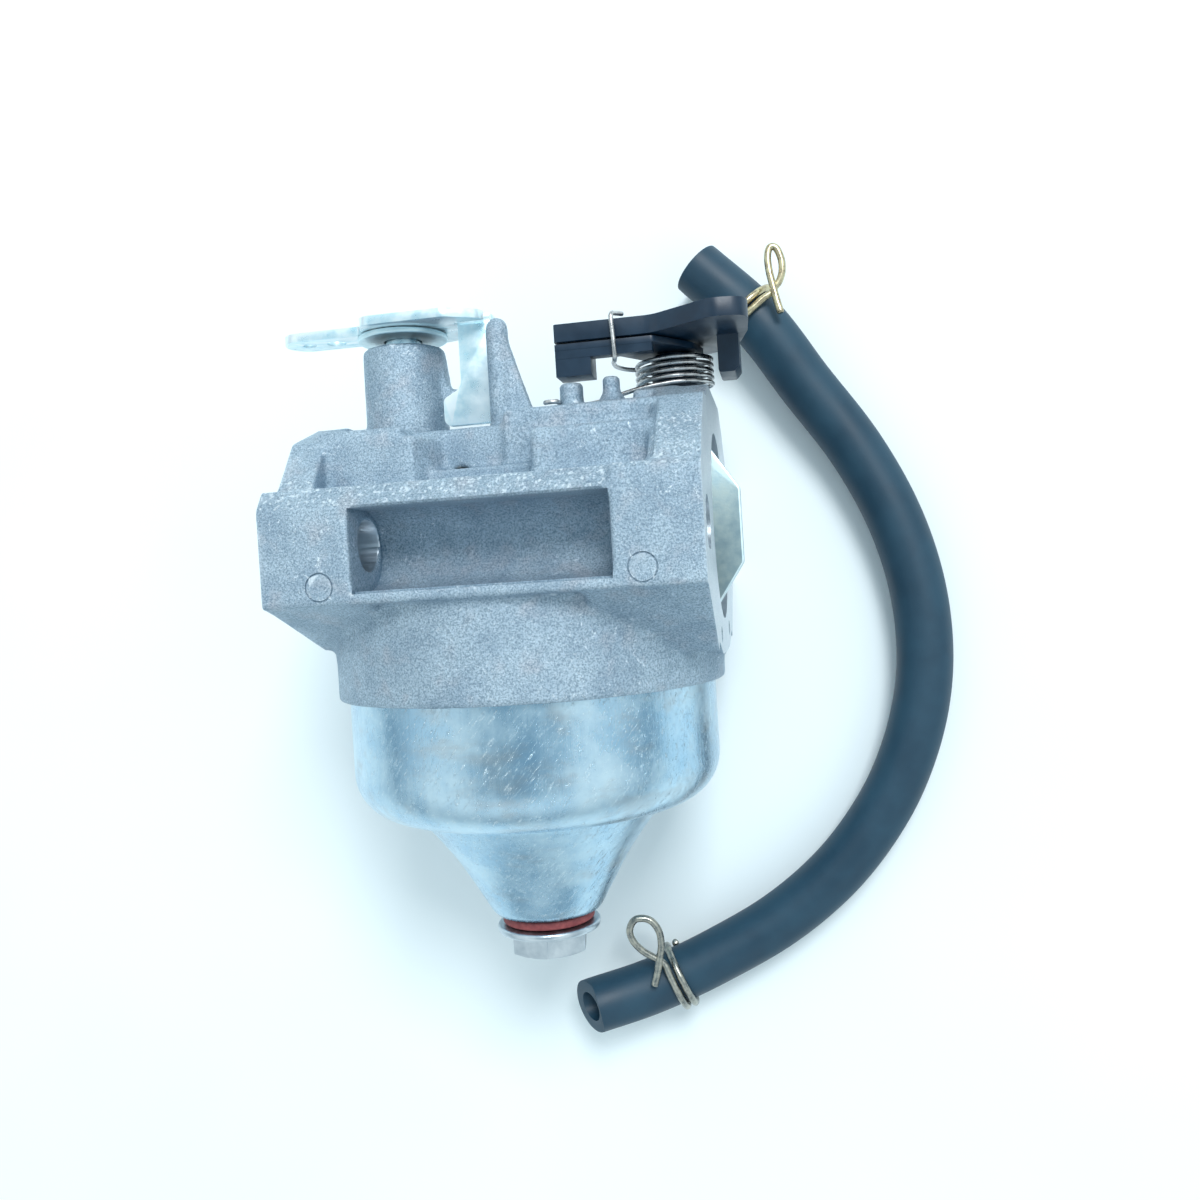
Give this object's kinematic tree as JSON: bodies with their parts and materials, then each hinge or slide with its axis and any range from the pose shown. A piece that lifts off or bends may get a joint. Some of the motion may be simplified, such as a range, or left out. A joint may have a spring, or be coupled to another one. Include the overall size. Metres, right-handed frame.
{
  "type": "carburetor",
  "caption": "Float-bowl carburetor with round bowl, two flanged faces, throttle lever, sprung choke lever and a length of fuel hose with wire clips.",
  "frame": {"origin": "on the surface it lies on, under the centre of the body's bounding box", "axes": "X along the air bore, from the engine face (-X) to the air face (+X); Y is up in use, from the bowl's bolt (-Y) to the levers (+Y); Z from the back, which it lies on, to the front"},
  "size_m": [0.0942, 0.1217, 0.055],
  "materials": {
    "cast_alloy": "die-cast alloy, fine speckled matte with machined faces",
    "plated_bowl": "satin zinc plate on drawn steel",
    "plated_bolt": "dull zinc plate",
    "plated_steel": "bright zinc plate",
    "brass": "turned brass",
    "black_plastic": "moulded, fine matte grain",
    "spring_wire": "drawn spring wire",
    "chromate_wire": "yellow passivated spring wire",
    "felt": "pressed felt",
    "black_rubber": "moulded rubber",
    "fibre": "red vulcanised fibre",
    "float_foam": "closed-cell float compound",
    "hose_rubber": "smooth extruded fuel hose"
  },
  "bodies": {
    "root": {"carb_body": "cast_alloy", "float_bowl": "plated_bowl", "bowl_bolt": "plated_bolt", "choke_spring": "spring_wire", "mixture_spring": "spring_wire", "throttle_seal": "felt", "expansion_plug": "plated_steel", "bowl_gasket": "black_rubber", "bowl_washer": "fibre", "float_pin": "plated_steel", "needle_seat": "brass", "bleed_jet_front": "brass", "bleed_jet_back": "brass", "main_jet": "brass", "main_nozzle": "brass", "pilot_jet": "brass", "mixture_screw": "brass", "fuel_inlet": "brass", "fuel_hose": "hose_rubber", "hose_clip_upper": "chromate_wire", "hose_clip_lower": "spring_wire"},
    "throttle": {"throttle_shaft": "plated_steel", "throttle_lever": "plated_steel", "throttle_collar": "plated_bolt", "throttle_plate": "brass", "throttle_screw_upper": "plated_steel", "throttle_screw_lower": "plated_steel"},
    "choke": {"choke_shaft": "black_plastic", "choke_plate": "plated_steel", "choke_lever": "black_plastic", "choke_relief_arm": "black_plastic"},
    "float_arm": {"float": "float_foam"},
    "inlet_needle": {"float_needle": "brass"}
  },
  "joints": [
    {"name": "throttle_turn", "type": "hinge", "parent": "root", "child": "throttle", "pos_m": [-0.01595, 0.0127, 0.027], "axis": [0, -1, 0], "range_deg": [0, 75]},
    {"name": "choke_turn", "type": "hinge", "parent": "root", "child": "choke", "pos_m": [0.02275, 0.0127, 0.027], "axis": [0, -1, 0], "range_deg": [0, 75], "stiffness_Nm_per_rad": 0.004, "springref_deg": -28.65, "deforming": ["choke_spring"]},
    {"name": "float_swing", "type": "hinge", "parent": "root", "child": "float_arm", "pos_m": [0.00025, -0.0059, 0.011], "axis": [1, 0, 0], "range_deg": [0, 7]},
    {"name": "needle_slide", "type": "slide", "parent": "root", "child": "inlet_needle", "axis": [0, 1, 0], "range_m": [-0.0007, 0]}
  ],
  "couplings": [
    {"joint": "needle_slide", "follows": "float_swing", "m_per_rad": -0.0045}
  ]
}
